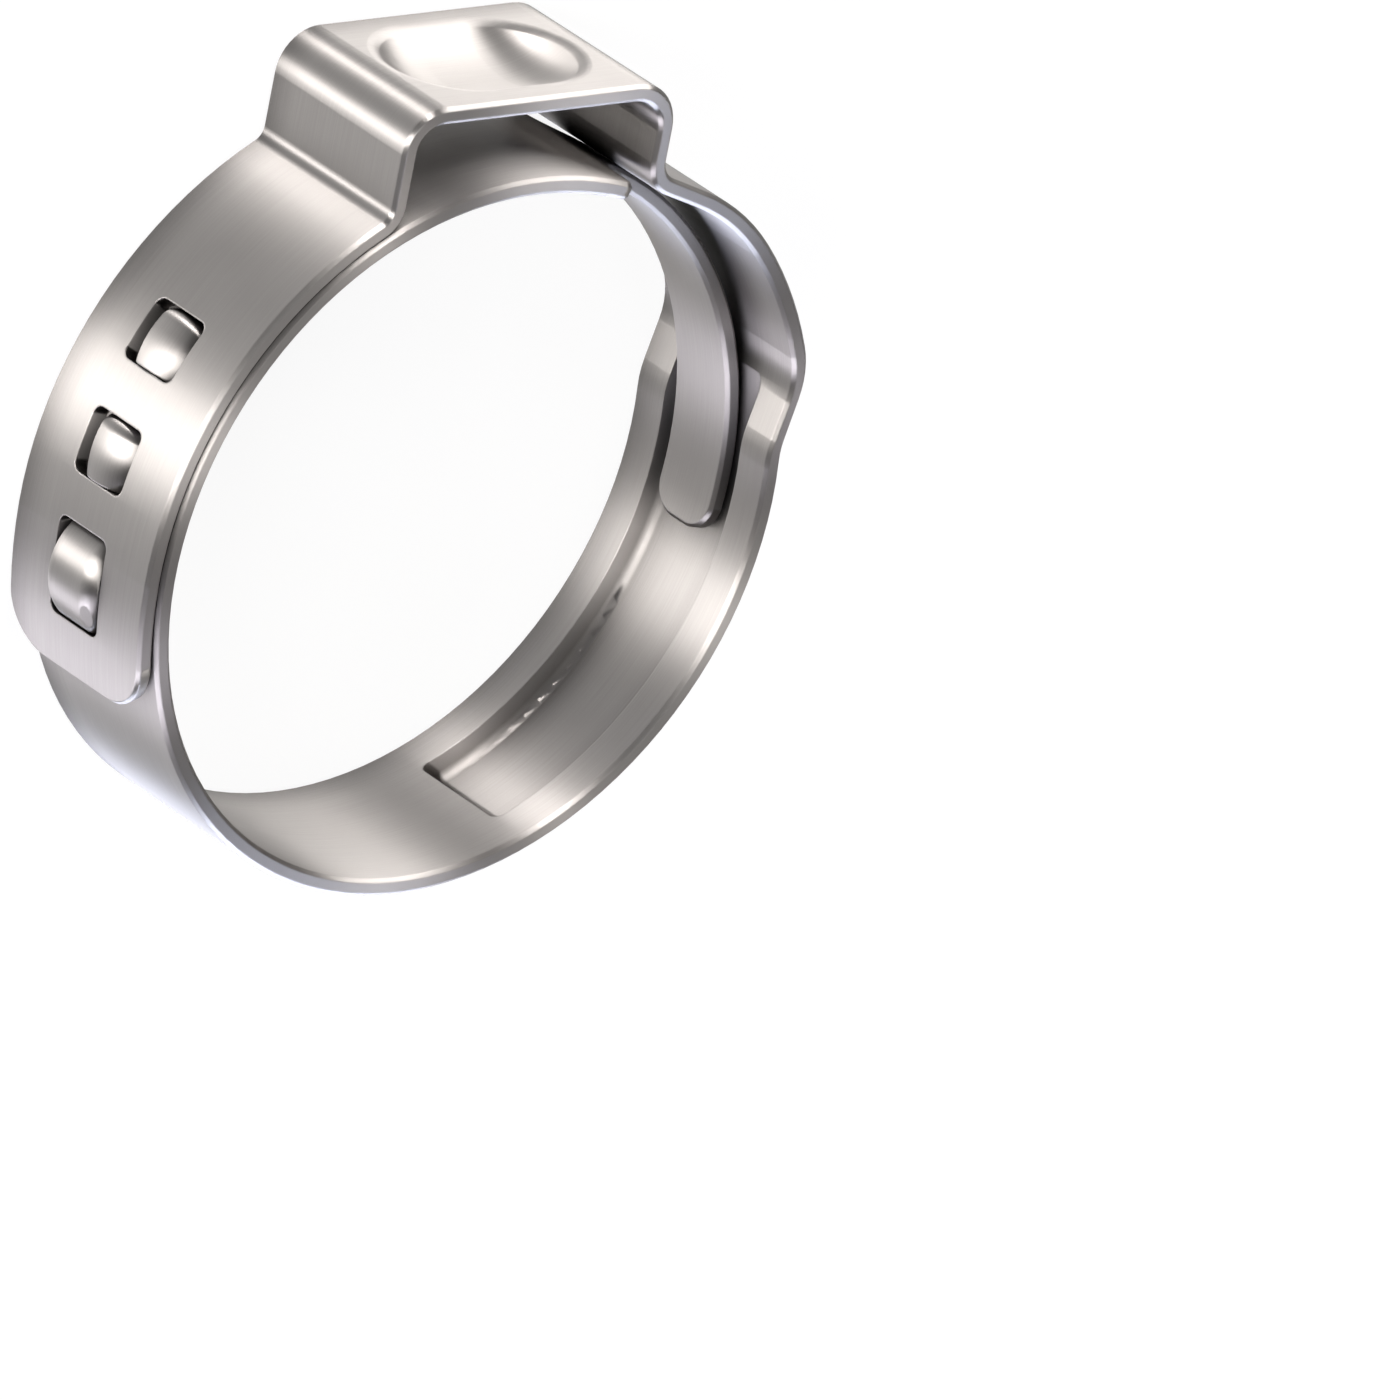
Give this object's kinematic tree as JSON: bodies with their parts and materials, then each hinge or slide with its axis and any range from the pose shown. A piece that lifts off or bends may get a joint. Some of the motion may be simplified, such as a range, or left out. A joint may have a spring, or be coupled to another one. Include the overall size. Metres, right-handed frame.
{
  "type": "ear hose clamp",
  "caption": "Stepless ear hose clamp: a rolled strip that hooks onto itself, with a crimping ear and a tongue that runs in a groove to keep the bore round.",
  "frame": {"origin": "on the bore axis, in the plane of the strip edge that the clamp lies on", "axes": "+Z along the bore axis, away from the edge it lies on; +Y through the roof of the ear; the overlapping outer band runs from the ear towards -X"},
  "size_m": [0.0272, 0.0282, 0.007],
  "materials": {
    "stainless_strip": "cold-rolled stainless strip, fine brushing along its length"
  },
  "bodies": {
    "root": {"clamp_band": "stainless_strip"}
  },
  "joints": []
}
